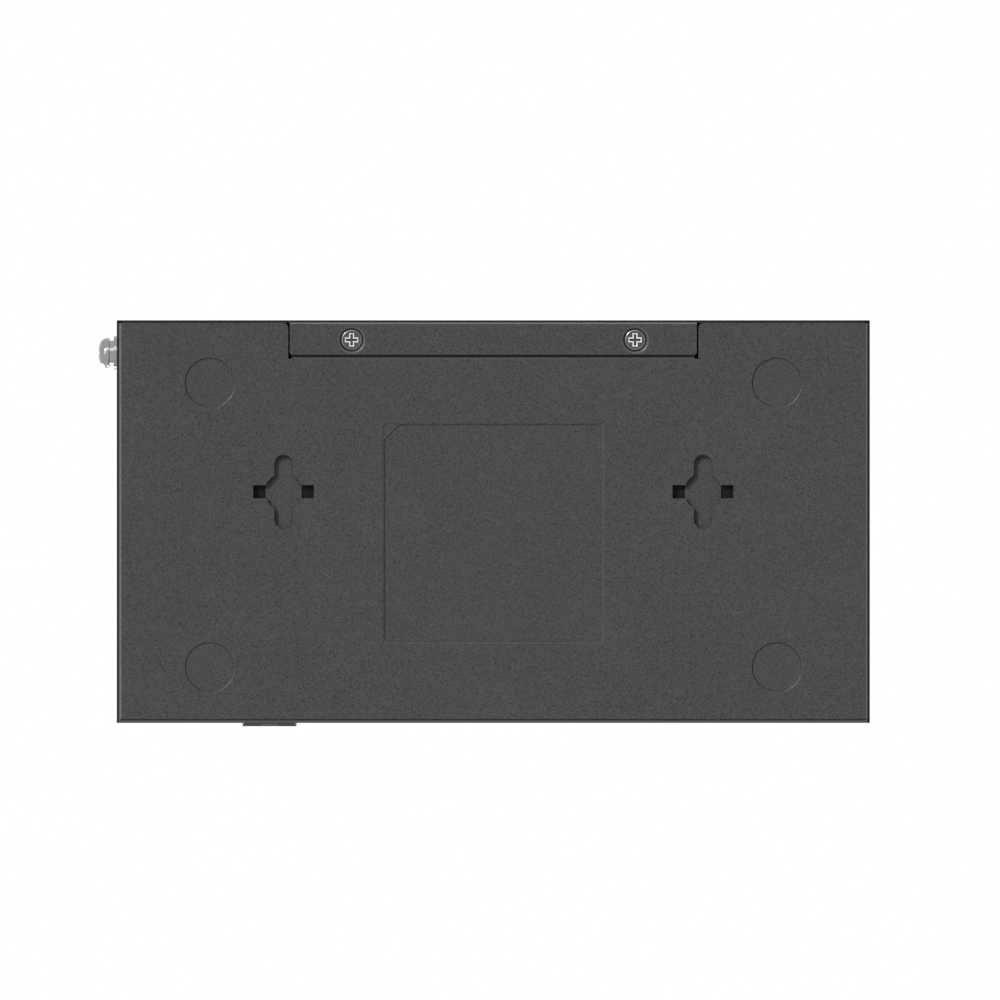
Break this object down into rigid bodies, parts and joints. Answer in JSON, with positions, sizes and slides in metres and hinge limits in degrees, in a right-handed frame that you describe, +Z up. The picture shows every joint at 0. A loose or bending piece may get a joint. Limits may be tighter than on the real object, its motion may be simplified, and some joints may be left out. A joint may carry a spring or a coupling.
{
  "type": "multi-wan router",
  "caption": "Desktop network router in a folded steel case with modular sockets, a plug-in module cage, power inlet, ground screw and wall keyholes.",
  "frame": {"origin": "centre of the footprint, on the plane of the underside", "axes": "+X to the right seen from the ports, +Y to the rear, +Z up"},
  "size_m": [0.2069, 0.1089, 0.028],
  "materials": {
    "case_paint": "fine-textured matt powder coat",
    "cover_paint": "fine-textured matt powder coat",
    "panel_paint": "smooth matt paint",
    "bright_screw": "bright nickel plating",
    "plated_steel": "tin or nickel plating",
    "cage_steel": "dull nickel plating",
    "spring_alloy": "dull nickel plating",
    "black_moulding": "moulded",
    "stem_moulding": "moulded",
    "gold_plating": "gold flash",
    "pin_plating": "nickel plating",
    "board_laminate": "solder mask",
    "black_film": "polyester film",
    "clear_moulding": "clear moulding",
    "lamp_body": "encapsulated",
    "chip_epoxy": "moulded epoxy",
    "pad_silicone": "soft pad",
    "cooler_aluminium": "black anodised",
    "inductor_ferrite": "pressed powder",
    "capacitor_can": "drawn can",
    "crystal_can": "drawn can"
  },
  "bodies": {
    "chassis": {"base_tray": "case_paint", "board_screws": "plated_steel", "capacitors": "capacitor_can", "cover_screws": "bright_screw", "crystals": "crystal_can", "flash_chip": "chip_epoxy", "front_panel": "panel_paint", "ground_nut": "plated_steel", "ground_screw": "bright_screw", "ground_spring_washer": "bright_screw", "ground_washer": "bright_screw", "inductors": "inductor_ferrite", "insulating_film": "black_film", "keyhole_guard_left": "case_paint", "keyhole_guard_right": "case_paint", "lamps": "lamp_body", "light_pipe": "clear_moulding", "main_board": "board_laminate", "memory_chips": "chip_epoxy", "module_cage": "cage_steel", "module_collar": "spring_alloy", "module_connector": "black_moulding", "port_contacts_1": "gold_plating", "port_contacts_2": "gold_plating", "port_contacts_3": "gold_plating", "port_contacts_4": "gold_plating", "port_contacts_5": "gold_plating", "port_housing_1": "black_moulding", "port_housing_2": "black_moulding", "port_housing_3": "black_moulding", "port_housing_4": "black_moulding", "port_housing_5": "black_moulding", "port_shield_1": "plated_steel", "port_shield_2": "plated_steel", "port_shield_3": "plated_steel", "port_shield_4": "plated_steel", "port_shield_5": "plated_steel", "power_inlet": "black_moulding", "power_pin": "pin_plating", "power_spring": "spring_alloy", "processor": "chip_epoxy", "processor_cooler": "cooler_aluminium", "processor_pad": "pad_silicone", "reset_switch": "black_moulding", "standoffs": "plated_steel", "switch_chip": "chip_epoxy", "switch_cooler": "cooler_aluminium", "switch_pad": "pad_silicone", "top_cover": "cover_paint", "transformers": "chip_epoxy"},
    "reset_button": {"reset_stem": "stem_moulding"}
  },
  "joints": [
    {"name": "reset_press", "type": "slide", "parent": "chassis", "child": "reset_button", "axis": [0, 1, 0], "range_m": [0, 0.00025], "stiffness_N_per_m": 1500, "springref_m": -0.0006}
  ]
}
